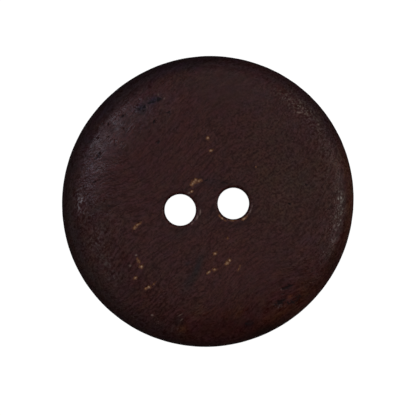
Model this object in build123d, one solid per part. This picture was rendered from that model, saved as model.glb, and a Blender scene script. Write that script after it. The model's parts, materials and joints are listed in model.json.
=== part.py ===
from build123d import *
from math import cos, radians, sin
import os

# A two-hole sew-on button: one disc of hardwood, turned, rounded over, shrunk by drying, faced and drilled.
#
# Millimetres. The origin is the centre of the back face, +Z points out of the front face, and +X runs along
# the line through the two sewing holes. The disc was turned round and then dried, so it is a little narrower
# across the grain than along it. The holes were drilled after that, so they are truly round.

# Disc
DIAMETER_ALONG_GRAIN = 28.0
DIAMETER_ACROSS_GRAIN = 27.5
GRAIN_ANGLE = 33.7  # degrees from +X, the direction that the grain runs in the faces
THICKNESS = 4.2

# Front profile: a flat middle, a soft shoulder, then a tighter rounded edge tangent to it
FLAT_RADIUS = 7.5
SHOULDER_RADIUS = 13.0
SHOULDER_TURN = 22.0  # degrees that the shoulder has fallen away by where the edge rounding takes over

# Back
BACK_EDGE_ROUND = 0.7

# Sewing holes, drilled as a pair that sits a little off the middle of the disc
HOLE_DIAMETER = 3.0
HOLE_SPACING = 5.1
HOLE_PAIR_X = -0.16
HOLE_PAIR_Y = -0.49
HOLE_FRONT_ROUND = 0.30
HOLE_BACK_ROUND = 0.15

FACING_ALLOWANCE = 1.0  # extra length of blank behind the back face, removed by the facing cut


def turned_blank():
    """The round blank as it leaves the lathe: the front profile, and a straight side down past the back."""
    outer = DIAMETER_ALONG_GRAIN / 2
    turn = radians(SHOULDER_TURN)
    edge_radius = (outer - FLAT_RADIUS - SHOULDER_RADIUS * sin(turn)) / (1 - sin(turn))

    def on_shoulder(angle):
        return (
            FLAT_RADIUS + SHOULDER_RADIUS * sin(angle),
            THICKNESS - SHOULDER_RADIUS * (1 - cos(angle)),
        )

    join_x, join_z = on_shoulder(turn)
    edge_centre = (join_x - edge_radius * sin(turn), join_z - edge_radius * cos(turn))
    half_way = (turn + radians(90)) / 2
    on_edge = (
        edge_centre[0] + edge_radius * sin(half_way),
        edge_centre[1] + edge_radius * cos(half_way),
    )

    with BuildPart() as blank:
        with BuildSketch(Plane.XZ):
            with BuildLine():
                Line((0, -FACING_ALLOWANCE), (0, THICKNESS))
                Line((0, THICKNESS), (FLAT_RADIUS, THICKNESS))
                ThreePointArc((FLAT_RADIUS, THICKNESS), on_shoulder(turn / 2), (join_x, join_z))
                ThreePointArc((join_x, join_z), on_edge, (outer, edge_centre[1]))
                Line((outer, edge_centre[1]), (outer, -FACING_ALLOWANCE))
                Line((outer, -FACING_ALLOWANCE), (0, -FACING_ALLOWANCE))
            make_face()
        revolve(axis=Axis.Z)
    return blank.part


def dried(blank):
    """The blank after drying, narrower across the grain, turned so that its grain lies at GRAIN_ANGLE."""
    shrink = DIAMETER_ACROSS_GRAIN / DIAMETER_ALONG_GRAIN
    return Rot(0, 0, GRAIN_ANGLE) * scale(blank, by=(1, shrink, 1))


def faced_back(disc):
    """The disc with its back faced flat at Z = 0 and the back edge rounded over."""
    cutter = Pos(0, 0, -FACING_ALLOWANCE) * Box(
        2 * DIAMETER_ALONG_GRAIN,
        2 * DIAMETER_ALONG_GRAIN,
        2 * FACING_ALLOWANCE,
    )
    disc = disc - cutter
    back = disc.faces().sort_by(Axis.Z)[0]
    return fillet(back.edges(), BACK_EDGE_ROUND)


def drill():
    """What one sewing hole removes: a drilled cylinder that flares into an eased edge at each face."""
    radius = HOLE_DIAMETER / 2
    front, back = HOLE_FRONT_ROUND, HOLE_BACK_ROUND
    eased = sin(radians(45))

    with BuildPart() as tool:
        with BuildSketch(Plane.XZ):
            with BuildLine():
                Line((0, 0), (radius + back, 0))
                ThreePointArc(
                    (radius + back, 0),
                    (radius + back * (1 - eased), back * (1 - eased)),
                    (radius, back),
                )
                Line((radius, back), (radius, THICKNESS - front))
                ThreePointArc(
                    (radius, THICKNESS - front),
                    (radius + front * (1 - eased), THICKNESS - front * (1 - eased)),
                    (radius + front, THICKNESS),
                )
                Line((radius + front, THICKNESS), (0, THICKNESS))
                Line((0, THICKNESS), (0, 0))
            make_face()
        revolve(axis=Axis.Z)
    return tool.part


def drilled(disc):
    """The disc with its two sewing holes, each eased at the front and the back."""
    for side in (-1, 1):
        disc = disc - Pos(HOLE_PAIR_X + side * HOLE_SPACING / 2, HOLE_PAIR_Y) * drill()
    return disc


def main():
    os.makedirs("parts", exist_ok=True)
    disc = drilled(faced_back(dried(turned_blank())))
    export_step(disc, "parts/button_disc.step")


main()
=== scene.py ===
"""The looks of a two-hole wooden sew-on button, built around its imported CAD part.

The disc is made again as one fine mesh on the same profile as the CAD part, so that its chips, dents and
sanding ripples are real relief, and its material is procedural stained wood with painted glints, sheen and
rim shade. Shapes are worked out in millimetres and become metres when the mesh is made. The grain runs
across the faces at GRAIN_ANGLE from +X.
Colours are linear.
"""

import json
from math import cos, pi, radians, sin, sqrt, tan

import bpy
import numpy as np
from mathutils import Matrix, Vector, noise
from mathutils.geometry import delaunay_2d_cdt

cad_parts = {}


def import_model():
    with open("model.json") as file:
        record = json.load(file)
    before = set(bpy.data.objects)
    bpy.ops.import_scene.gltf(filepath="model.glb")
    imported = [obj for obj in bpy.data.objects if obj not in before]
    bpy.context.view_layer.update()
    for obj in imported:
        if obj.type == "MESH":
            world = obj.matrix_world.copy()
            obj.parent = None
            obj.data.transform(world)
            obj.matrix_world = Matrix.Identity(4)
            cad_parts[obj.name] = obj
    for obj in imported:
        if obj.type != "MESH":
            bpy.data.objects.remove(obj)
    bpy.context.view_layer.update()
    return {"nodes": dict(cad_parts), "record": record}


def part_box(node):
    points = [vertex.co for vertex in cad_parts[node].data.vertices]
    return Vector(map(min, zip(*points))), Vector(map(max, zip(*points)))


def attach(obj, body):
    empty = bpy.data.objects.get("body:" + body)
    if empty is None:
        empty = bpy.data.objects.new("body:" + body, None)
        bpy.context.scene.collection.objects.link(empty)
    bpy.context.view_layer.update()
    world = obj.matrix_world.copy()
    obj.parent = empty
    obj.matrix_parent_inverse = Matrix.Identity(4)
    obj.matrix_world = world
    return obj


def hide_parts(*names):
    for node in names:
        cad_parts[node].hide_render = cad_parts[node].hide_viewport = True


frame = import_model()

MM = 0.001
NODE = "button_disc"

# Profile of the turned disc, as in the CAD part
GRAIN_ANGLE = radians(33.7)
FLAT_RADIUS = 7.5
SHOULDER_RADIUS = 13.0
SHOULDER_TURN = radians(22)
BACK_EDGE_ROUND = 0.7
HOLE_FRONT_ROUND = 0.30
HOLE_BACK_ROUND = 0.15

# Fineness of the mesh: steps round its loops and along its profiles, and spacing of the faces' points
RIM_STEPS = 720
RIM_ARC_STEPS = 24
BACK_ARC_STEPS = 8
HOLE_STEPS = 110
HOLE_ARC_STEPS = 6
HOLE_WALL_STEPS = 12
FRONT_SPACING = 0.13
MARK_SPACING = 0.05
BACK_SPACING = 0.26
LOOP_GAP = 0.6  # least distance from the points on a face to its loops, in spacings
MARK_MARGIN = 0.15  # millimetres round a mark where the front's wide spacing gives way to the close one
HOLE_EDGE_BAND = 4.1  # diameter round each hole where they are as close as on a mark

# Relief, in millimetres
CHIP_DEPTH = 0.07
DENT_DEPTH = 0.05

# Noise in the mesh: how much it adds, bumps per millimetre along and across the grain, and seed
SLOW_WAVES = (0.012, 0.12, 0.25, 3.0)
FINE_RIPPLES = (0.010, 0.7, 1.6, 11.0)
CHIP_OUTLINES = (0.12, 3.0, 4.0, 5.0)
DENT_OUTLINES = (0.12, 3.0, 4.0, 7.0)
GRAIN_WANDER = (0.5, 0.2, 0.2, 21.0)
GRAIN_WRIGGLE = (0.13, 0.8, 0.8, 23.0)
GRAIN_SHIFT = (0.2, 0.5, 0.5, 25.0)

# Where a field starts and where it is full
FRONT_SLOPE = (0.1, 0.4)  # upward part of a surface's normal, for what only the front has
CHIP_EDGE = (0.4, 0.65)
DENT_EDGE = (0.3, 0.75)

# Marks on the front face: x, y, length, width, slant in degrees from +X, and strength.
# Chips go through the stain to bare wood.
CHIPS = (
    (-1.25, 1.82, 0.42, 0.28, 40, 1.0),
    (-1.05, 1.98, 0.42, 0.34, 30, 1.0),
    (-0.87, 2.13, 0.34, 0.32, 0, 1.0),
    (-0.62, 2.00, 0.50, 0.26, 10, 1.0),
    (-1.38, 1.12, 0.34, 0.20, 40, 1.0),
    (0.73, 5.94, 0.30, 0.28, 30, 1.0),
    (0.87, 4.69, 0.28, 0.27, 0, 1.0),
    (-7.10, -1.62, 0.50, 0.26, 40, 1.0),
    (-6.78, -1.38, 0.55, 0.24, 33, 1.0),
    (-7.17, -4.77, 0.50, 0.24, -77, 0.95),
    (-6.94, -5.35, 0.34, 0.30, 0, 1.0),
    (-7.62, -6.36, 0.34, 0.25, 50, 0.9),
    (-6.58, -7.39, 0.56, 0.26, 20, 1.0),
    (-5.97, -7.12, 0.46, 0.18, 40, 0.75),
    (1.44, -3.65, 0.26, 0.22, 0, 0.85),
    (0.12, -4.95, 0.30, 0.26, 0, 0.95),
    (1.16, -5.98, 0.42, 0.30, 20, 1.0),
    (1.38, -5.76, 0.26, 0.24, 60, 1.0),
    (2.20, -6.56, 0.46, 0.16, 55, 0.7),
    (-0.15, -6.44, 0.30, 0.26, 20, 0.95),
    (-0.68, -6.64, 0.46, 0.20, 28, 0.95),
    (4.90, 2.68, 0.15, 0.13, 0, 0.8),
    (-5.29, -0.65, 0.15, 0.13, 0, 0.7),
)
# Flecks are small pale places where the stain is rubbed thin, and painted glints where the grain's ridges
# catch the light.
FLECKS_AND_GLINTS = (
    (9.55, 7.30, 0.50, 0.17, -7, 1.0),
    (10.13, 7.10, 0.26, 0.17, 0, 0.85),
    (9.97, 7.66, 0.36, 0.15, 83, 0.85),
    (9.59, 8.38, 0.30, 0.12, -7, 0.55),
    (11.22, 5.94, 0.36, 0.20, 0, 0.80),
    (-6.50, -10.03, 0.26, 0.18, -7, 1.0),
    (5.98, -9.34, 0.22, 0.13, 0, 0.45),
    (-7.31, -4.22, 0.24, 0.18, 0, 1.0),
    (-8.00, -5.13, 0.32, 0.28, 0, 0.75),
    (-1.64, 1.00, 0.40, 0.20, 20, 0.90),
    (-3.43, 10.55, 0.48, 0.28, 83, 0.62),
    (-2.91, 10.12, 0.46, 0.24, 45, 0.65),
    (-4.64, 9.50, 0.36, 0.20, 110, 0.58),
    (-3.87, -10.34, 0.75, 0.13, 22, 0.75),
    (-3.98, -10.54, 0.45, 0.10, 22, 0.55),
    (-3.79, -10.79, 0.55, 0.17, 35, 0.70),
)
# Dents are dark hollows in the stained surface.
DENTS = (
    (-3.43, 10.12, 0.40, 0.30, 20, 0.95),
    (-3.90, 10.00, 0.60, 0.22, 20, 0.70),
    (-4.89, 9.58, 0.32, 0.26, 40, 0.90),
    (-5.39, 9.42, 0.32, 0.26, 0, 0.80),
    (-4.98, 9.22, 0.32, 0.20, 0, 0.70),
    (-4.40, 9.85, 0.70, 0.20, 28, 0.55),
    (-2.62, 8.82, 0.55, 0.24, 56, 0.80),
    (-4.05, 8.10, 0.60, 0.20, 25, 0.80),
    (-4.02, 6.12, 0.32, 0.28, 0, 0.95),
    (-9.72, 5.54, 1.10, 0.26, 42, 0.8),
    (0.10, 1.97, 0.70, 0.12, 10, 0.55),
    (0.85, 1.92, 0.70, 0.13, -8, 0.60),
    (1.75, 1.55, 0.70, 0.18, -25, 0.65),
    (6.03, -9.06, 0.38, 0.32, 0, 1.0),
    (6.52, -8.92, 0.80, 0.30, 15, 1.0),
    (5.98, -9.52, 0.24, 0.18, 0, 0.80),
    (5.56, -10.34, 0.56, 0.44, 20, 1.0),
    (6.00, -10.14, 0.60, 0.22, 27, 0.60),
    (6.95, -10.27, 1.05, 0.40, 18, 0.64),
    (7.38, -9.98, 0.50, 0.34, 20, 0.65),
    (2.40, -11.82, 0.62, 0.30, -5, 0.65),
    (-8.46, 8.37, 0.24, 0.22, 0, 0.85),
    (-9.63, 7.19, 0.26, 0.22, 0, 0.85),
    (-8.62, 7.17, 0.22, 0.20, 0, 0.75),
    (-10.45, 6.96, 0.26, 0.22, 0, 0.80),
    (-10.34, 3.08, 0.32, 0.22, 0, 0.80),
    (-7.02, 8.99, 0.32, 0.28, 50, 0.75),
    (-7.07, 7.77, 0.22, 0.20, 0, 0.70),
    (-9.24, 0.72, 0.40, 0.20, 0, 0.45),
    (9.38, 0.43, 0.26, 0.22, 0, 0.9),
    (7.57, -1.16, 0.26, 0.22, 0, 0.8),
)

# Colour of the stain, and the soft patches that pull it towards their own colours, in this order; most are
# the stain's own tone,
# the marked ones painted sheen: x, y, length, width, slant, strength, colour
STAIN = (0.080, 0.023, 0.0205)
STAIN_AND_SHEEN_PATCHES = (
    (6.7, 0.8, 6.5, 9.0, 0, 0.65, (0.077, 0.0315, 0.0195)),
    (6.4, 6.1, 3.6, 1.6, 20, 0.50, (0.088, 0.037, 0.021)),
    (6.9, -0.3, 2.6, 4.4, 0, 0.45, (0.105, 0.040, 0.026)),
    (13.0, 2.2, 1.4, 1.8, 0, 0.70, (0.150, 0.062, 0.040)),
    (0.5, -4.5, 3.0, 4.0, 30, 0.35, (0.112, 0.032, 0.021)),
    (8.6, 1.6, 2.6, 3.4, 0, 0.50, (0.070, 0.034, 0.027)),
    (7.6, -10.6, 5.5, 1.8, 44, 0.80, (0.102, 0.031, 0.020)),
    (5.1, -11.6, 2.8, 1.3, 20, 0.80, (0.120, 0.036, 0.015)),
    (8.1, -9.3, 2.4, 1.1, 20, 0.55, (0.108, 0.034, 0.017)),
    (6.65, -9.85, 0.6, 0.36, 20, 0.80, (0.190, 0.052, 0.020)),
    (9.0, -8.9, 1.6, 1.0, 20, 0.55, (0.044, 0.016, 0.015)),
    (10.6, -8.0, 2.4, 1.4, 52, 0.50, (0.088, 0.027, 0.022)),
    # Painted sheen: lighter and greyer where the gloss on the lower right is stronger
    (9.6, -4.6, 4.0, 3.2, 0, 0.45, (0.100, 0.038, 0.036)),
    (11.0, -6.6, 2.2, 1.4, 60, 0.70, (0.062, 0.028, 0.018)),
    (11.1, -7.5, 1.2, 0.8, 55, 0.60, (0.022, 0.012, 0.014)),
    (10.2, -5.5, 1.1, 0.9, 0, 0.45, (0.045, 0.022, 0.026)),
    (4.2, -12.6, 4.5, 1.2, 20, 0.60, (0.086, 0.022, 0.010)),
    (4.5, -10.6, 1.8, 1.3, 20, 0.65, (0.088, 0.034, 0.032)),
    (0.5, -10.6, 6.0, 2.0, 0, 0.50, (0.080, 0.021, 0.0145)),
    (-3.9, -11.7, 1.1, 0.9, 0, 0.80, (0.150, 0.050, 0.012)),
    (-6.2, -11.4, 2.4, 1.2, -25, 0.60, (0.038, 0.018, 0.022)),
    (-4.5, -11.0, 1.7, 0.8, 0, 0.50, (0.044, 0.015, 0.014)),
    # Painted sheen: lighter and greyer in place of more of the left highlight
    (-4.2, 9.4, 3.4, 2.6, 25, 0.35, (0.100, 0.045, 0.050)),
    (-3.90, 10.08, 1.35, 0.75, 20, 0.95, (0.020, 0.014, 0.030)),
    (-5.15, 9.48, 1.15, 0.85, 25, 0.90, (0.020, 0.014, 0.028)),
    (-1.2, 12.2, 3.4, 0.9, 4, 0.60, (0.108, 0.031, 0.022)),
    (-8.35, 9.9, 1.4, 0.9, 45, 0.70, (0.020, 0.015, 0.017)),
    (-11.0, 7.4, 1.4, 0.9, 55, 0.70, (0.022, 0.016, 0.018)),
    (-10.4, 6.9, 1.0, 0.8, 0, 0.45, (0.030, 0.014, 0.014)),
    (-12.3, 5.2, 1.8, 1.0, 70, 0.60, (0.026, 0.017, 0.019)),
    (-9.95, 8.75, 1.6, 0.7, 50, 0.60, (0.020, 0.008, 0.009)),
    (6.9, -8.2, 1.6, 0.8, 0, 0.30, (0.110, 0.050, 0.045)),
    (7.4, -9.95, 1.0, 0.7, 20, 0.50, (0.045, 0.016, 0.012)),
    (-5.9, -10.9, 1.2, 0.8, 0, 0.50, (0.030, 0.011, 0.011)),
    (-4.05, -11.1, 0.9, 0.7, 0, 0.50, (0.028, 0.014, 0.018)),
    (-6.0, -10.2, 5.0, 2.2, -40, 0.45, (0.062, 0.018, 0.012)),
    (-9.9, -1.6, 7.0, 3.0, 84, 0.45, (0.090, 0.042, 0.037)),
    (-0.3, 12.9, 3.0, 1.0, 0, 0.60, (0.022, 0.014, 0.018)),
    (-0.6, -12.0, 6.0, 1.5, -2, 0.70, (0.053, 0.012, 0.009)),
    (1.5, -6.2, 6.5, 5.0, 30, 0.55, (0.102, 0.026, 0.020)),
    (-1.0, 5.0, 5.0, 4.5, 60, 0.45, (0.092, 0.024, 0.021)),
    (-2.2, 9.8, 3.4, 2.0, 30, 0.40, (0.098, 0.032, 0.030)),
    (-6.5, 3.5, 7.0, 5.0, 50, 0.30, (0.085, 0.022, 0.023)),
    (2.9, 10.6, 6.0, 3.0, -8, 0.55, (0.064, 0.022, 0.019)),
    (0.8, 1.7, 3.0, 0.9, -8, 0.70, (0.042, 0.017, 0.019)),
    (0.0, -1.2, 1.6, 3.0, 0, 0.40, (0.058, 0.021, 0.023)),
    (-2.7, -2.7, 3.0, 1.0, 0, 0.40, (0.052, 0.023, 0.023)),
    (2.5, -2.6, 2.4, 0.7, 0, 0.45, (0.048, 0.018, 0.018)),
    (-2.1, -6.5, 4.4, 1.1, 57, 0.50, (0.047, 0.023, 0.022)),
    (-1.75, -6.1, 2.4, 0.6, 62, 0.80, (0.026, 0.0155, 0.017)),
    (-2.6, -7.3, 1.8, 0.9, 50, 0.60, (0.036, 0.0195, 0.0205)),
    (-2.6, -5.6, 0.9, 0.4, 20, 0.60, (0.022, 0.0145, 0.014)),
    (-2.2, -10.2, 1.8, 1.3, 60, 0.60, (0.098, 0.036, 0.017)),
    (1.6, -10.7, 1.8, 1.1, 20, 0.50, (0.102, 0.034, 0.016)),
    (2.5, -11.95, 1.3, 0.7, 0, 0.80, (0.022, 0.008, 0.009)),
    # Painted sheen: lighter and bluer on the upper right
    (9.7, 5.8, 3.4, 2.0, -48, 0.40, (0.084, 0.044, 0.048)),
    (-8.6, 7.4, 4.0, 2.2, 45, 0.20, (0.060, 0.016, 0.016)),
    (-6.0, -5.5, 3.0, 2.0, 40, 0.30, (0.061, 0.023, 0.021)),
    (-9.4, -6.5, 5.0, 2.0, -52, 0.45, (0.061, 0.025, 0.022)),
    (-12.2, -2.2, 2.2, 2.6, 0, 0.50, (0.053, 0.028, 0.025)),
    (-10.7, 0.6, 3.0, 2.6, 0, 0.50, (0.064, 0.030, 0.025)),
    (-11.2, -6.7, 3.6, 1.6, -62, 0.45, (0.038, 0.020, 0.015)),
    (-10.9, -7.6, 1.4, 1.0, 0, 0.40, (0.038, 0.019, 0.022)),
    (10.2, 0.2, 4.0, 5.0, 0, 0.60, (0.076, 0.036, 0.025)),
    # Painted sheen: broadens the right highlight
    (11.3, 3.8, 3.0, 1.8, 108, 0.40, (0.100, 0.047, 0.042)),
    (8.6, 5.0, 3.2, 4.0, 0, 0.35, (0.066, 0.024, 0.023)),
    (6.2, 8.4, 5.0, 3.0, -37, 0.60, (0.064, 0.0235, 0.0225)),
    (0.6, 11.4, 5.0, 1.6, -4, 0.45, (0.056, 0.020, 0.018)),
    (-7.4, -10.0, 3.4, 1.2, -37, 0.40, (0.046, 0.015, 0.013)),
    (8.4, -6.3, 3.2, 2.2, 50, 0.60, (0.104, 0.036, 0.034)),
)

# Darker, greyer or warmer stretches of the rim: partly the stain's own tone, partly painted shade, painted
# light and painted reflection where the rim turns from or towards the lamps: turn in degrees, spread,
# radius where it starts, radius where it is full, strength, colour
RIM_TONE_SHADE_AND_REFLECTION = (
    (124, 42, 11.8, 13.2, 0.85, (0.031, 0.016, 0.0205)),
    (92, 26, 12.4, 13.6, 0.65, (0.018, 0.011, 0.014)),
    (180, 36, 12.0, 13.4, 0.80, (0.036, 0.0195, 0.0185)),
    (210, 26, 11.8, 13.3, 0.60, (0.055, 0.025, 0.021)),
    (236, 16, 12.0, 13.4, 0.60, (0.054, 0.0295, 0.028)),
    (38, 30, 12.2, 13.5, 0.65, (0.042, 0.0245, 0.028)),
    (-6, 16, 12.9, 13.7, 0.70, (0.150, 0.060, 0.036)),
    (-38, 16, 12.3, 13.6, 0.40, (0.080, 0.030, 0.025)),
    (-58, 12, 12.8, 13.6, 0.55, (0.115, 0.038, 0.029)),
    (-73, 9, 12.8, 13.6, 0.75, (0.017, 0.006, 0.006)),
    (-100, 26, 12.4, 13.6, 0.60, (0.072, 0.022, 0.0215)),
)

# Scuffed, fibrous places that look whitish, and painted glints and painted sheen where the highlights lie
# on the shoulder: x, y, length, width, slant, strength, colour
SCUFFS_AND_GLINTS = (
    (-11.0, 2.6, 2.6, 1.2, 85, 0.40, (0.24, 0.20, 0.25)),
    (-10.3, 5.2, 3.4, 1.4, 62, 0.50, (0.24, 0.20, 0.26)),
    (-10.75, 4.5, 1.6, 0.7, 75, 0.35, (0.26, 0.24, 0.32)),
    (-11.92, 1.40, 2.1, 0.8, 84, 0.78, (0.46, 0.41, 0.41)),
    (-11.88, 1.35, 0.9, 0.50, 84, 0.80, (0.58, 0.52, 0.56)),
    (-11.7, 1.0, 2.6, 1.7, 95, 0.20, (0.24, 0.21, 0.21)),
    (-11.0, -2.3, 2.2, 1.3, 80, 0.55, (0.28, 0.24, 0.22)),
    (-10.4, -4.4, 2.2, 1.5, -70, 0.40, (0.22, 0.19, 0.16)),
    (-9.7, -5.9, 2.0, 1.4, -60, 0.40, (0.26, 0.21, 0.19)),
    (12.48, -1.1, 2.8, 0.8, 95, 0.65, (0.36, 0.31, 0.26)),
    (11.95, -3.1, 2.6, 0.9, 78, 0.75, (0.38, 0.33, 0.29)),
    (10.24, -6.15, 0.8, 0.45, 50, 0.60, (0.34, 0.28, 0.27)),
    (12.40, -1.25, 0.6, 0.40, 60, 1.00, (0.60, 0.52, 0.46)),
    (12.35, -2.45, 0.6, 0.36, 60, 0.80, (0.50, 0.43, 0.38)),
    (11.98, -3.65, 0.8, 0.45, 50, 1.00, (0.62, 0.54, 0.48)),
    (11.30, -4.95, 0.8, 0.42, 60, 0.65, (0.42, 0.37, 0.34)),
    (12.0, 3.4, 2.8, 1.1, 108, 0.55, (0.26, 0.21, 0.18)),
    (10.9, 6.2, 2.6, 1.2, 122, 0.55, (0.26, 0.21, 0.18)),
    (9.7, 7.8, 2.4, 1.1, 140, 0.68, (0.42, 0.35, 0.27)),
    (8.2, 9.2, 2.4, 1.1, 145, 0.35, (0.30, 0.27, 0.21)),
    (-6.2, -10.8, 0.9, 0.7, 0, 0.38, (0.30, 0.18, 0.17)),
    (-4.5, -11.7, 0.9, 0.7, 0, 0.50, (0.28, 0.20, 0.18)),
    (5.55, -10.66, 0.9, 0.24, -22, 0.90, (0.40, 0.31, 0.30)),
    (2.1, -11.46, 0.8, 0.20, 0, 0.60, (0.24, 0.18, 0.17)),
)
# The painted glints count with the scuffs in this limit.
MOST_GLINT_AND_SCUFF = 2.0  # limit on the strength where scuffs overlap

# A darker ring round each sewing hole
HOLE_SHADE = 0.18
HOLE_SHADE_RADIUS = 1.95
HOLE_SHADE_WIDTH = 0.22

# Places where the grain bends: x, y, reach, degrees that it turns clockwise
BENDS = (
    (-8.2, 3.0, 4.0, 27),
    (7.0, -7.5, 4.2, 24),
    (3.0, 10.5, 3.5, 10),
    (-1.5, 7.5, 3.0, -10),
)

# Where the surface is more or less wrinkled than elsewhere: x, y, length, width, slant, change of strength
WRINKLES = (
    (3.0, 10.3, 7.0, 4.5, -5, -0.65),
    (-5.5, -9.0, 8.0, 4.0, 35, 0.35),
    (-9.8, 4.5, 6.0, 3.0, 60, 0.30),
    (-9.5, -2.5, 5.0, 4.0, 70, 0.30),
    (11.5, -0.5, 8.0, 2.6, 88, 0.35),
    (9.0, 8.5, 4.0, 2.0, -45, 0.30),
    (4.5, -7.5, 6.0, 4.5, 0, -0.35),
    (12.0, 4.6, 5.0, 2.0, 108, 0.50),
    (0.5, -11.8, 8.0, 2.4, 0, -0.45),
    (-4.5, 5.0, 7.0, 7.0, 0, -0.25),
    (7.0, 1.0, 7.0, 8.0, 0, 0.12),
)
LEAST_WRINKLED, MOST_WRINKLED = 0.2, 2.0

# Where fine parallel ridges run along the grain: x, y, length, width, slant, strength
RIDGES = (
    (-5.6, -9.4, 4.6, 2.6, -25, 1.0),
    (-9.2, -5.0, 3.4, 3.0, 0, 0.8),
    (-8.9, 4.4, 2.6, 2.0, 0, 0.7),
    (-5.4, -4.4, 3.4, 2.4, 0, 0.6),
    (5.6, -9.0, 4.0, 3.0, 0, 0.4),
)

# Where the figure is a speckle and not streaks: x, y, length, width, slant, strength
SPECKLES = (
    (7.0, 2.5, 12.0, 8.5, 80, 1.0),
    (-11.0, -1.0, 7.0, 3.0, 80, 0.6),
    (5.5, 8.0, 6.0, 4.0, 0, 0.5),
)

# Eased edges of the holes that are rubbed to bare wood: hole number, turn in degrees, spread, radius,
# width, strength
WORN_EDGES = (
    (1, 224, 14, 1.78, 0.16, 1.0),
    (1, 262, 17, 1.62, 0.08, 0.90),
    (1, 300, 11, 1.73, 0.19, 1.0),
)
# The same, for edges that are rubbed pale, partly a painted highlight where the eased edge faces the light
PALE_EDGES_AND_HIGHLIGHTS = (
    (1, 345, 8, 1.75, 0.18, 0.75),
    (1, 329, 11, 1.73, 0.18, 0.80),
    (0, -13, 13, 1.93, 0.18, 0.85),
    (0, -31, 11, 1.78, 0.18, 1.0),
    (0, -55, 9, 1.72, 0.18, 0.75),
)

# Grain, in bumps per millimetre along the grain, across it and through the disc
STREAKS = (1.1, 4.8, 4.8)
CREASES = (1.5, 4.4, 4.4)
PITS = (4.8, 4.8, 4.8)
MOTTLES = (0.8, 1.2, 1.2)
CHIP_SPECKS = (4.0, 4.0, 4.0)
DENT_SPECKS = (3.6, 3.6, 3.6)
FUZZ = (4.8, 4.8, 4.8)
DIMPLES = (1.6, 1.6, 1.6)
POLISH = (1.1, 1.1, 1.1)

# Strength of the figure's parts where it is streaked, and where it is speckled
STREAK_STRENGTH = (0.50, 0.25)
PIT_STRENGTH = (0.50, 0.90)
CREASE_STRENGTH = (1.0, 0.3)

# Dark creases, and the parallel ridges
CREASE_WIDTH = 0.10
CREASE_DARK, CREASE_LIGHT = -0.09, 0.04
RIDGE_STRENGTH = 0.16
RIDGE_SPACING = 0.75
RIDGE_WAVINESS = 3.5

# What the stain's colour is multiplied by in the dark and the light grain, and how its hue varies
DARK_GRAIN = (0.56, 0.225, 0.185, 1)
LIGHT_GRAIN = (1.66, 1.96, 2.02, 1)
MOTTLE_CONTRAST = (0.55, 0.50, 0.85)
MOTTLE_FLOOR = (0.725, 0.75, 0.575)

# Dents are the stain's colour times DENT_SHARE plus DENT_FLOOR
DENT_SHARE = (0.17, 0.15, 0.16)
DENT_FLOOR = (0.005, 0.003, 0.004)
FLECK_AND_GLINT_COLOUR = (0.35, 0.23, 0.19, 1)

# Steps in the material: where each starts and is full, then what it gives there, if not 0 and 1
FIGURE_STEP = (0.3, 0.7)
DENT_RAGGED = (0.3, 0.7, -0.35, 0.35)
DENT_STEP = (0.3, 0.65, 0.0, 0.92)
CHIP_RAGGED = (0.3, 0.7, -0.2, 0.2)
FUZZ_STEP = (0.49, 0.72)
FLECK_AND_GLINT_STEP = (0.3, 0.8)
POLISH_STEP = (0.35, 0.65, 0.24, 0.40)
DULL_STEP = (0.4, 0.6)

# Bare wood, from a chip's outline to its middle: bareness where a colour starts, where it is full, colour
BARE_WOOD = (
    (0.15, 0.5, (0.22, 0.080, 0.035, 1)),
    (0.45, 0.75, (0.50, 0.26, 0.13, 1)),
    (0.75, 1.0, (0.88, 0.64, 0.44, 1)),
)

# Sheen, and the bumps that only the material has, in millimetres
DENT_ROUGHNESS = 0.65
BARE_ROUGHNESS = 0.7
SPECULAR_LEVEL = 0.31
FIGURE_BUMP = 0.035
DIMPLE_BUMP = 0.03


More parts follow.
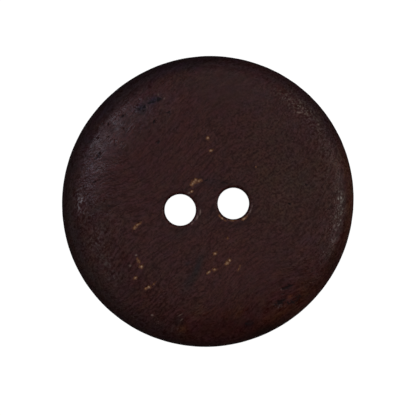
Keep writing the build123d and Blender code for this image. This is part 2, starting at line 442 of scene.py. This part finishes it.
class Disc:
    """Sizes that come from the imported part, in millimetres."""

    def __init__(self):
        self.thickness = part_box(NODE)[1].z / MM
        self.long_radius = self.reach(GRAIN_ANGLE)
        self.squeeze = self.reach(GRAIN_ANGLE + pi / 2) / self.long_radius
        self.foot = FLAT_RADIUS + SHOULDER_RADIUS * sin(SHOULDER_TURN)
        self.edge_radius = (self.long_radius - self.foot) / (1 - sin(SHOULDER_TURN))
        shoulder_drop = SHOULDER_RADIUS * (1 - cos(SHOULDER_TURN))
        self.edge_height = self.thickness - shoulder_drop - self.edge_radius * cos(SHOULDER_TURN)
        bores = [m for m in frame["record"]["mounts"] if m["kind"] == "bore"]
        self.holes = [(m["pos_m"][0] / MM, m["pos_m"][1] / MM) for m in bores]
        self.hole_radius = bores[0]["dims"]["r_mm"]

    def reach(self, angle):
        """How far the CAD part reaches from its axis in this direction."""
        direction = Vector((cos(angle), sin(angle), 0))
        return max(v.co.dot(direction) for v in frame["nodes"][NODE].data.vertices) / MM

    def place(self, radius, turn):
        """The point of the oval disc that was at this radius and turn while the disc was still round."""
        along = radius * np.cos(turn)
        across = radius * self.squeeze * np.sin(turn)
        return (
            along * cos(GRAIN_ANGLE) - across * sin(GRAIN_ANGLE),
            along * sin(GRAIN_ANGLE) + across * cos(GRAIN_ANGLE),
        )

    def turned_radius(self, x, y):
        """The radius that a point of the oval disc had while the disc was still round."""
        along = x * cos(GRAIN_ANGLE) + y * sin(GRAIN_ANGLE)
        across = y * cos(GRAIN_ANGLE) - x * sin(GRAIN_ANGLE)
        return np.hypot(along, across / self.squeeze)

    def front_height(self, x, y):
        """Height of the flat middle and the shoulder."""
        out = np.clip(self.turned_radius(x, y) - FLAT_RADIUS, 0, None)
        return self.thickness - SHOULDER_RADIUS + np.sqrt(SHOULDER_RADIUS**2 - out**2)

    def rim_profile(self):
        """(radius, height) of each loop from the shoulder's foot over the rim to the flat of the back."""
        edge_centre = self.long_radius - self.edge_radius
        back_centre = self.long_radius - BACK_EDGE_ROUND
        profile = []
        for a in np.linspace(SHOULDER_TURN, pi / 2, RIM_ARC_STEPS + 1):
            height = self.edge_height + self.edge_radius * cos(a)
            profile.append((edge_centre + self.edge_radius * sin(a), height))
        for a in np.linspace(0, pi / 2, BACK_ARC_STEPS + 1):
            height = BACK_EDGE_ROUND * (1 - sin(a))
            profile.append((back_centre + BACK_EDGE_ROUND * cos(a), height))
        return profile

    def hole_profile(self):
        """(radius, height) of each loop of a sewing hole, from its front edge to its back edge."""
        wall = np.linspace(self.thickness - HOLE_FRONT_ROUND, HOLE_BACK_ROUND, HOLE_WALL_STEPS + 1)
        profile = []
        for a in np.linspace(pi / 2, 0, HOLE_ARC_STEPS + 1):
            height = self.thickness - HOLE_FRONT_ROUND * (1 - sin(a))
            profile.append((self.hole_radius + HOLE_FRONT_ROUND * (1 - cos(a)), height))
        for height in wall[1:-1]:
            profile.append((self.hole_radius, height))
        for a in np.linspace(0, pi / 2, HOLE_ARC_STEPS // 2 + 1):
            height = HOLE_BACK_ROUND * (1 - sin(a))
            profile.append((self.hole_radius + HOLE_BACK_ROUND * (1 - cos(a)), height))
        return profile


class Shell:
    """A growing closed mesh, with its points in millimetres."""

    INSIDE_ONLY = 1  # asks the triangulation for the triangles inside the outer loop
    TOLERANCE = 1e-6

    def __init__(self):
        self.points = []
        self.faces = []

    def loop(self, x, y, z):
        """Adds points and returns their numbers."""
        start = len(self.points)
        self.points += [(float(a), float(b), float(c)) for a, b, c in zip(*np.broadcast_arrays(x, y, z))]
        return list(range(start, len(self.points)))

    def bridge(self, upper, lower, outward):
        """Joins two loops of as many points with a strip of quads."""
        for a, b, c, d in zip(upper, lower, lower[1:] + lower[:1], upper[1:] + upper[:1]):
            self.faces.append((a, b, c, d) if outward else (d, c, b, a))

    def stack(self, loops, outward):
        """Joins each loop with the next."""
        for upper, lower in zip(loops, loops[1:]):
            self.bridge(upper, lower, outward)

    def fill(self, outer, holes, inside, up):
        """Fills the flat region between loops with triangles on the numbered points inside it."""
        loops = [outer] + holes
        numbers = [n for loop in loops for n in loop] + inside
        place = {n: i for i, n in enumerate(numbers)}
        edges = [(place[a], place[b]) for loop in loops for a, b in zip(loop, loop[1:] + loop[:1])]
        flat = [Vector(self.points[n][:2]) for n in numbers]
        result = delaunay_2d_cdt(flat, edges, [], self.INSIDE_ONLY, self.TOLERANCE)
        _, _, triangles, origin, _, _ = result
        open_loops = [set(hole) for hole in holes]
        for corners in triangles:
            face = [numbers[origin[c][0]] for c in corners]
            if any(hole.issuperset(face) for hole in open_loops):
                continue
            (ax, ay, _), (bx, by, _), (cx, cy, _) = (self.points[n] for n in face)
            faces_up = (bx - ax) * (cy - ay) > (by - ay) * (cx - ax)
            self.faces.append(tuple(face if faces_up == up else face[::-1]))


def near_marks(x, y, rows, margin):
    """Which places are on a mark or within margin of it."""
    near = np.zeros(x.shape, bool)
    for mark_x, mark_y, length, width, *_ in rows:
        near |= np.hypot(x - mark_x, y - mark_y) < max(length, width) / 2 + margin
    return near


def lattice(disc, radius, hole_radius, spacing):
    """Points of a triangular lattice inside a turned radius and outside the sewing holes."""
    row_height = spacing * sqrt(3) / 2
    rows = np.arange(-int(radius / row_height) - 1, int(radius / row_height) + 2)
    columns = np.arange(-int(radius / spacing) - 1, int(radius / spacing) + 2)
    x = (columns[None, :] + 0.5 * (rows[:, None] % 2)) * spacing
    y = np.broadcast_to(rows[:, None] * row_height, x.shape)
    keep = disc.turned_radius(x, y) < radius - LOOP_GAP * spacing
    for hole_x, hole_y in disc.holes:
        keep &= np.hypot(x - hole_x, y - hole_y) > hole_radius + LOOP_GAP * spacing
    return x[keep], y[keep]


def front_lattice(disc):
    """The front face's points, closer together on and round its marks and its holes."""
    area = (disc, disc.foot, disc.hole_radius + HOLE_FRONT_ROUND)
    close = CHIPS + FLECKS_AND_GLINTS + DENTS
    close += tuple((hole_x, hole_y, HOLE_EDGE_BAND, HOLE_EDGE_BAND) for hole_x, hole_y in disc.holes)
    x, y = lattice(*area, FRONT_SPACING)
    plain = ~near_marks(x, y, close, MARK_MARGIN)
    fine_x, fine_y = lattice(*area, MARK_SPACING)
    fine = near_marks(fine_x, fine_y, close, MARK_MARGIN - FRONT_SPACING / 2)
    return np.concatenate([x[plain], fine_x[fine]]), np.concatenate([y[plain], fine_y[fine]])


def bore(shell, disc, x, y):
    """The wall of the sewing hole at x, y: its loops from the front face to the back."""
    turn = np.arange(HOLE_STEPS) * 2 * pi / HOLE_STEPS
    loops = []
    for radius, height in disc.hole_profile():
        loops.append(shell.loop(x + radius * np.cos(turn), y + radius * np.sin(turn), height))
    shell.stack(loops, outward=False)
    return loops


def smooth_disc(disc):
    """The closed disc with its two holes, before any wear."""
    shell = Shell()
    turn = np.arange(RIM_STEPS) * 2 * pi / RIM_STEPS
    rim = [shell.loop(*disc.place(radius, turn), height) for radius, height in disc.rim_profile()]
    shell.stack(rim, outward=True)
    holes = [bore(shell, disc, x, y) for x, y in disc.holes]
    x, y = front_lattice(disc)
    front = shell.loop(x, y, disc.front_height(x, y))
    shell.fill(rim[0], [loops[0] for loops in holes], front, up=True)
    back_radius = disc.long_radius - BACK_EDGE_ROUND
    x, y = lattice(disc, back_radius, disc.hole_radius + HOLE_BACK_ROUND, BACK_SPACING)
    back = shell.loop(x, y, 0.0)
    shell.fill(rim[-1], [loops[-1] for loops in holes], back, up=False)
    return shell


def rise(field, low, high):
    """0 below low, 1 above high and smooth between."""
    t = np.clip((field - low) / (high - low), 0, 1)
    return t * t * (3 - 2 * t)


def rough(points, amount, along, across, seed):
    """Perlin noise up to about amount, with this many bumps per millimetre along and across the grain."""
    c, s = cos(GRAIN_ANGLE), sin(GRAIN_ANGLE)
    x = (points[:, 0] * c + points[:, 1] * s) * along
    y = (points[:, 1] * c - points[:, 0] * s) * across
    z = points[:, 2] * across + seed
    return amount * np.array([noise.noise(place) for place in zip(x, y, z)])


def across_mark(points, x, y, length, width, slant):
    """Distance from the middle of an oval mark, where 1 is its outline."""
    a = radians(slant)
    dx, dy = points[:, 0] - x, points[:, 1] - y
    along, across = dx * cos(a) + dy * sin(a), dy * cos(a) - dx * sin(a)
    return np.hypot(along / (length / 2), across / (width / 2))


def marks(points, rows):
    """A field that is a mark's strength at its middle, half that at its outline and 0 well outside it."""
    field = np.zeros(len(points))
    for *shape, strength in rows:
        field = np.maximum(field, strength * (1 - 0.5 * across_mark(points, *shape)))
    return field


def soft(points, rows, start=0.0):
    """A field to which each row adds its strength at its middle, fading out past its outline."""
    field = np.full(len(points), start)
    for *shape, strength in rows:
        field += strength * np.exp(-across_mark(points, *shape) ** 2)
    return field


def turned_away(turn, middle, spread):
    """1 in the direction of middle, fading over spread degrees to each side."""
    away = (np.degrees(turn) - middle + 180) % 360 - 180
    return np.exp(-((away / spread) ** 2))


def edge_wear_and_highlights(disc, points, rows):
    """A field like that of marks, for stretches of the front edges of the sewing holes."""
    field = np.zeros(len(points))
    for hole, middle, spread, radius, width, strength in rows:
        x, y = points[:, 0] - disc.holes[hole][0], points[:, 1] - disc.holes[hole][1]
        ring = 1 - 0.5 * np.abs(np.hypot(x, y) - radius) / (width / 2)
        field = np.maximum(field, strength * ring * turned_away(np.arctan2(y, x), middle, spread))
    return field * (points[:, 2] > disc.thickness / 2)


def glints_and_scuffs(points):
    """How strongly each point is scuffed and painted with glints, and the colour that it takes where it is.
    """
    total = np.zeros(len(points))
    colour = np.zeros((len(points), 3))
    for *shape, strength, tint in SCUFFS_AND_GLINTS:
        share = strength * np.exp(-across_mark(points, *shape) ** 2)
        total += share
        colour += share[:, None] * np.array(tint)
    return np.clip(total, 0, MOST_GLINT_AND_SCUFF), colour / np.maximum(total, 1e-9)[:, None]


def stain_and_painted_light_colour(disc, points):
    """Colour that the stain has taken at each point, with its painted sheen, painted rim shade and darker
    ring round each hole, before the fine grain.
    """
    colour = np.tile(STAIN, (len(points), 1))
    # The stain's patches, a few of them painted sheen
    for *shape, strength, tint in STAIN_AND_SHEEN_PATCHES:
        pull = strength * np.exp(-across_mark(points, *shape) ** 2)
        colour += (np.array(tint) - colour) * pull[:, None]
    radius = disc.turned_radius(points[:, 0], points[:, 1])
    turn = np.arctan2(points[:, 1], points[:, 0])
    # Painted rim shade, light and reflection, with some of the rim's own tone
    for middle, spread, start, full, strength, tint in RIM_TONE_SHADE_AND_REFLECTION:
        pull = strength * turned_away(turn, middle, spread) * rise(radius, start, full)
        colour += (np.array(tint) - colour) * pull[:, None]
    # A darker ring round each sewing hole
    for x, y in disc.holes:
        away = np.abs(np.hypot(points[:, 0] - x, points[:, 1] - y) - HOLE_SHADE_RADIUS)
        colour *= 1 - HOLE_SHADE * np.exp(-((away / HOLE_SHADE_WIDTH) ** 2))[:, None]
    return colour


def grain_coordinates(points):
    """Millimetres along the grain, across it and through the disc, where the grain wanders and bends."""
    along = points[:, 0] * cos(GRAIN_ANGLE) + points[:, 1] * sin(GRAIN_ANGLE)
    across = points[:, 1] * cos(GRAIN_ANGLE) - points[:, 0] * sin(GRAIN_ANGLE)
    for x, y, reach, bend in BENDS:
        middle = x * cos(GRAIN_ANGLE) + y * sin(GRAIN_ANGLE)
        near = np.exp(-(((points[:, 0] - x) ** 2 + (points[:, 1] - y) ** 2) / reach**2))
        across = across + tan(radians(bend)) * (along - middle) * near
    across = across + rough(points, *GRAIN_WANDER) + rough(points, *GRAIN_WRIGGLE)
    along = along + rough(points, *GRAIN_SHIFT)
    return np.stack([along, across, points[:, 2]], 1)


def add_field(mesh, name, values):
    """Stores one number or one vector per point for the material to read."""
    kind, key = ("FLOAT", "value") if values.ndim == 1 else ("FLOAT_VECTOR", "vector")
    mesh.attributes.new(name, kind, "POINT").data.foreach_set(key, values.astype(np.float32).ravel())


def button_mesh(disc):
    """The worn disc, with the fields that its material reads."""
    shell = smooth_disc(disc)
    mesh = bpy.data.meshes.new("button_disc_worn")
    points = np.array(shell.points)
    mesh.from_pydata((points * MM).tolist(), [], shell.faces)
    mesh.polygons.foreach_set("use_smooth", [True] * len(mesh.polygons))
    normals = np.empty(len(points) * 3)
    mesh.vertex_normals.foreach_get("vector", normals)
    normals = normals.reshape(-1, 3)

    front = rise(normals[:, 2], *FRONT_SLOPE)
    chips = marks(points, CHIPS) * front
    dents = marks(points, DENTS) * front
    relief = rough(points, *SLOW_WAVES) + rough(points, *FINE_RIPPLES)
    relief -= CHIP_DEPTH * rise(chips + rough(points, *CHIP_OUTLINES), *CHIP_EDGE)
    relief -= DENT_DEPTH * rise(dents + rough(points, *DENT_OUTLINES), *DENT_EDGE)
    mesh.vertices.foreach_set("co", ((points + normals * relief[:, None]) * MM).ravel())
    mesh.update()

    # Scuffs, with the painted glints and painted sheen along the shoulder's highlights
    glint_and_scuff_share, glint_and_scuff_colour = glints_and_scuffs(points)
    add_field(mesh, "grain", grain_coordinates(points))
    # The stain's colour, with painted sheen and painted rim shade in it
    add_field(mesh, "stain_and_painted_light", stain_and_painted_light_colour(disc, points))
    flecks_and_glints = marks(points, FLECKS_AND_GLINTS) * front
    add_field(mesh, "bare", np.maximum(chips, edge_wear_and_highlights(disc, points, WORN_EDGES)))
    # Pale flecks and painted glints, and the pale hole edges with their painted highlight
    add_field(mesh, "flecks_and_glints", np.maximum(flecks_and_glints, edge_wear_and_highlights(disc, points, PALE_EDGES_AND_HIGHLIGHTS)))
    add_field(mesh, "dents", dents)
    add_field(mesh, "glints_and_scuffs", glint_and_scuff_share * front)
    add_field(mesh, "glint_and_scuff_colour", glint_and_scuff_colour)
    add_field(mesh, "wrinkle", np.clip(soft(points, WRINKLES, 1.0), LEAST_WRINKLED, MOST_WRINKLED))
    add_field(mesh, "speckle", np.clip(soft(points, SPECKLES), 0, 1))
    add_field(mesh, "ridges", np.clip(soft(points, RIDGES), 0, 1))
    return mesh


class Graph:
    """Adds nodes to a material, so that it reads as a list of steps."""

    def __init__(self, tree):
        self.tree = tree

    def feed(self, socket, value):
        """Sets a socket to a value, or links it where the value is another node's output."""
        if isinstance(value, bpy.types.NodeSocket):
            self.tree.links.new(value, socket)
        else:
            socket.default_value = value

    def node(self, kind, inputs=(), **settings):
        """A new node. inputs are (socket, value) pairs."""
        made = self.tree.nodes.new("ShaderNode" + kind)
        for name, value in settings.items():
            setattr(made, name, value)
        for name, value in inputs:
            self.feed(made.inputs[name], value)
        return made

    def field(self, name, output="Fac"):
        """A field that the mesh carries."""
        return self.node("Attribute", attribute_name=name).outputs[output]

    def stretch(self, at, frequency):
        """A vector times a vector."""
        return self.node("VectorMath", [(0, at), (1, frequency)], operation="MULTIPLY").outputs[0]

    def noise(self, at, frequency, detail=2.0, roughness=0.5):
        """Noise from 0 to 1, with the bumps per millimetre that frequency says."""
        placed = self.stretch(at, frequency)
        pairs = [("Vector", placed), ("Scale", 1.0), ("Detail", detail), ("Roughness", roughness)]
        return self.node("TexNoise", pairs).outputs["Fac"]

    def maths(self, operation, a, b=0.0):
        return self.node("Math", [(0, a), (1, b)], operation=operation).outputs[0]

    def add(self, *values):
        total = values[0]
        for value in values[1:]:
            total = self.maths("ADD", total, value)
        return total

    def times(self, a, b):
        return self.maths("MULTIPLY", a, b)

    def centred(self, value):
        """From -0.5 to 0.5 where the value goes from 0 to 1."""
        return self.maths("SUBTRACT", value, 0.5)

    def rise(self, value, low, high, start=0.0, end=1.0):
        """A smooth step from start to end as value goes from low to high."""
        pairs = [("Value", value), ("From Min", low), ("From Max", high)]
        pairs += [("To Min", start), ("To Max", end)]
        return self.node("MapRange", pairs, interpolation_type="SMOOTHSTEP").outputs[0]

    def blend(self, factor, a, b):
        """Number a where factor is 0 and b where it is 1."""
        return self.node("Mix", [(0, factor), (2, a), (3, b)]).outputs[0]

    def mix(self, factor, a, b):
        """Colour a where factor is 0 and b where it is 1."""
        return self.node("Mix", [(0, factor), (6, a), (7, b)], data_type="RGBA").outputs[2]

    def scaled(self, colour, gain, floor):
        """A colour times gain plus floor."""
        pairs = [(0, colour), (1, gain), (2, floor)]
        return self.node("VectorMath", pairs, operation="MULTIPLY_ADD").outputs[0]


def grain_figure(g, at):
    """The grain's relief and shade, about 0.5: wrinkled streaks, ridges, pits and dark creases."""
    speckle = g.field("speckle")
    streaks = g.centred(g.noise(at, STREAKS, roughness=0.6))
    streaks = g.times(streaks, g.blend(speckle, *STREAK_STRENGTH))
    pits = g.centred(g.noise(at, PITS, detail=1.5, roughness=0.7))
    pits = g.times(pits, g.blend(speckle, *PIT_STRENGTH))
    creases = g.maths("ABSOLUTE", g.centred(g.noise(at, CREASES, detail=0.5)))
    creases = g.rise(creases, 0.0, CREASE_WIDTH, CREASE_DARK, CREASE_LIGHT)
    creases = g.times(creases, g.blend(speckle, *CREASE_STRENGTH))
    pairs = [("Vector", at), ("Scale", RIDGE_SPACING), ("Distortion", RIDGE_WAVINESS), ("Detail", 1.0),
             ("Detail Scale", 1.2)]
    waves = g.node("TexWave", pairs, bands_direction="Y").outputs["Fac"]
    ridges = g.times(g.centred(waves), g.times(g.field("ridges"), RIDGE_STRENGTH))
    return g.add(0.5, g.times(g.add(streaks, ridges, pits, creases), g.field("wrinkle")))


def grained_stain_and_painted_light(g, at, figure):
    """The stain's colour with its painted sheen and rim shade, darker and lighter with the grain, and with
    a hue that varies.
    """
    grain = g.mix(g.rise(figure, *FIGURE_STEP), DARK_GRAIN, LIGHT_GRAIN)
    pairs = [("Vector", g.stretch(at, MOTTLES)), ("Scale", 1.0), ("Detail", 2.0)]
    hue = g.node("TexNoise", pairs).outputs["Color"]
    mottles = g.scaled(hue, MOTTLE_CONTRAST, MOTTLE_FLOOR)
    return g.stretch(g.stretch(g.field("stain_and_painted_light", "Vector"), grain), mottles)


def stained_wood():
    """Hardwood dyed nearly black-brown and waxed, with its dents, scuffs, pale flecks and bare chips, and
    with painted glints, sheen and rim shade.
    """
    material = bpy.data.materials.new("dyed_hardwood")
    material.use_nodes = True
    g = Graph(material.node_tree)
    at = g.field("grain", "Vector")
    figure = grain_figure(g, at)

    ragged = g.add(g.field("dents"), g.rise(g.noise(at, DENT_SPECKS), *DENT_RAGGED))
    dented = g.rise(ragged, *DENT_STEP)
    hollow = g.scaled(g.field("stain_and_painted_light", "Vector"), DENT_SHARE, DENT_FLOOR)
    colour = g.mix(dented, grained_stain_and_painted_light(g, at, figure), hollow)
    # Scuffs and painted glints, broken up by the fuzz
    glint_and_scuff_share = g.times(g.field("glints_and_scuffs"), g.rise(g.noise(at, FUZZ), *FUZZ_STEP))
    colour = g.mix(glint_and_scuff_share, colour, g.field("glint_and_scuff_colour", "Vector"))
    # Pale flecks with painted glints, and pale hole edges with their painted highlight
    colour = g.mix(g.rise(g.field("flecks_and_glints"), *FLECK_AND_GLINT_STEP), colour, FLECK_AND_GLINT_COLOUR)
    bare = g.add(g.field("bare"), g.rise(g.noise(at, CHIP_SPECKS), *CHIP_RAGGED))
    for low, high, wood in BARE_WOOD:
        colour = g.mix(g.rise(bare, low, high), colour, wood)

    roughness = g.rise(g.noise(at, POLISH), *POLISH_STEP)
    roughness = g.blend(dented, roughness, DENT_ROUGHNESS)
    roughness = g.blend(g.rise(bare, *DULL_STEP), roughness, BARE_ROUGHNESS)
    height = g.add(g.times(figure, FIGURE_BUMP), g.times(g.noise(at, DIMPLES, detail=1.0), DIMPLE_BUMP))
    bump = g.node("Bump", [("Strength", 1.0), ("Distance", MM), ("Height", height)])

    shader = material.node_tree.nodes["Principled BSDF"]
    g.feed(shader.inputs["Base Color"], colour)
    g.feed(shader.inputs["Roughness"], roughness)
    g.feed(shader.inputs["Normal"], bump.outputs[0])
    shader.inputs["Specular IOR Level"].default_value = SPECULAR_LEVEL
    return material


def make_button(disc):
    """The worn disc that stands for the CAD part."""
    button = bpy.data.objects.new("button_disc_worn", button_mesh(disc))
    bpy.context.scene.collection.objects.link(button)
    button.data.materials.append(stained_wood())
    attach(button, "root")
    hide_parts(NODE)


# Studio
CAMERA_ROLL = radians(6.88)
CAMERA_LENS = 250
CAMERA_HEIGHT = 276.1
CAMERA_OFFSET = (0.016, -0.627)  # millimetres, as seen, from the disc's middle to the view's middle
CAMERA_CLIP = (0.01, 10)  # metres
TABLE_HALF = 3.0  # metres from its middle to its edge
TABLE_GAP = 0.02  # millimetres below the button, so that their faces don't meet
TABLE_GREY = 0.3
TABLE_GLOW = 1.0
ROOM_LIGHT = 0.018
BACKDROP_LIGHT = 1.0
LIGHT_DISTANCE = 0.35  # metres from every light to the button

# name, turn seen from the camera, tilt from overhead, width, height in metres, power in watts, colour
LIGHTS = (
    ("window_left", 150, 41, 0.15, 0.08, 0.109, (0.98, 0.95, 1.12)),
    ("lamp_right", -2, 60, 0.24, 0.12, 0.118, (1.08, 0.98, 0.92)),
    ("overhead", 15, 9, 0.38, 0.36, 0.116, (1, 1, 1.02)),
    ("fill_above", 80, 46, 0.25, 0.20, 0.062, (1, 1, 1.03)),
    ("fill_left", 222, 44, 0.20, 0.20, 0.026, (1, 1, 1.03)),
    ("low_left", 192, 84, 0.58, 0.12, 0.050, (1.06, 0.98, 0.93)),
    ("low_above", 105, 84, 0.55, 0.12, 0.046, (1.06, 0.93, 1.06)),
    ("low_right", 30, 84, 0.50, 0.12, 0.045, (0.98, 1, 1.01)),
)


def softbox(name, turn, tilt, width, height, power, colour):
    """A rectangular area light aimed at the button, which the camera doesn't see."""
    a, t = radians(turn) - CAMERA_ROLL, radians(tilt)
    light = bpy.data.lights.new(name, "AREA")
    light.shape = "RECTANGLE"
    light.size, light.size_y = width, height
    light.energy = power
    light.color = colour
    lamp = bpy.data.objects.new(name, light)
    lamp.visible_camera = False
    bpy.context.scene.collection.objects.link(lamp)
    away = Vector((sin(t) * cos(a), sin(t) * sin(a), cos(t)))
    lamp.location = away * LIGHT_DISTANCE
    lamp.rotation_euler = away.to_track_quat("Z", "Y").to_euler()


def white_table():
    """Paint that glows white by itself and shows hardly any shadow."""
    material = bpy.data.materials.new("white_table")
    material.use_nodes = True
    shader = material.node_tree.nodes["Principled BSDF"]
    shader.inputs["Base Color"].default_value = (TABLE_GREY, TABLE_GREY, TABLE_GREY, 1)
    shader.inputs["Roughness"].default_value = 1.0
    shader.inputs["Specular IOR Level"].default_value = 0.0
    shader.inputs["Emission Color"].default_value = (1, 1, 1, 1)
    shader.inputs["Emission Strength"].default_value = TABLE_GLOW
    return material


def floor():
    """A white table just under the button, which doesn't light it."""
    mesh = bpy.data.meshes.new("table_top")
    half, below = TABLE_HALF, -TABLE_GAP * MM
    corners = [(-half, -half, below), (half, -half, below), (half, half, below), (-half, half, below)]
    mesh.from_pydata(corners, [], [(0, 1, 2, 3)])
    mesh.materials.append(white_table())
    table = bpy.data.objects.new("table_top", mesh)
    bpy.context.scene.collection.objects.link(table)
    table.visible_glossy = False
    table.visible_diffuse = False


def world():
    """Dim room light, with a pale backdrop where the camera sees past the table."""
    room = bpy.data.worlds.new("room")
    bpy.context.scene.world = room
    room.use_nodes = True
    g = Graph(room.node_tree)
    dim = room.node_tree.nodes["Background"]
    dim.inputs["Color"].default_value = (1, 1, 1, 1)
    dim.inputs["Strength"].default_value = ROOM_LIGHT
    pale = g.node("Background", [("Color", (1, 1, 1, 1)), ("Strength", BACKDROP_LIGHT)])
    seen = g.node("LightPath").outputs["Is Camera Ray"]
    both = g.node("MixShader", [(0, seen), (1, dim.outputs[0]), (2, pale.outputs[0])])
    g.feed(room.node_tree.nodes["World Output"].inputs["Surface"], both.outputs[0])


def camera():
    """Straight above the button, turned so that its line of holes tilts as seen."""
    data = bpy.data.cameras.new("camera")
    data.lens = CAMERA_LENS
    data.clip_start, data.clip_end = CAMERA_CLIP
    seen_from = bpy.data.objects.new("camera", data)
    bpy.context.scene.collection.objects.link(seen_from)
    spin = Matrix.Rotation(-CAMERA_ROLL, 4, "Z")
    place = Vector((*CAMERA_OFFSET, CAMERA_HEIGHT)) * MM
    seen_from.matrix_world = spin @ Matrix.Translation(place)
    bpy.context.scene.camera = seen_from


make_button(Disc())
floor()
world()
camera()
for row in LIGHTS:
    softbox(*row)
bpy.context.scene.view_settings.view_transform = "Standard"
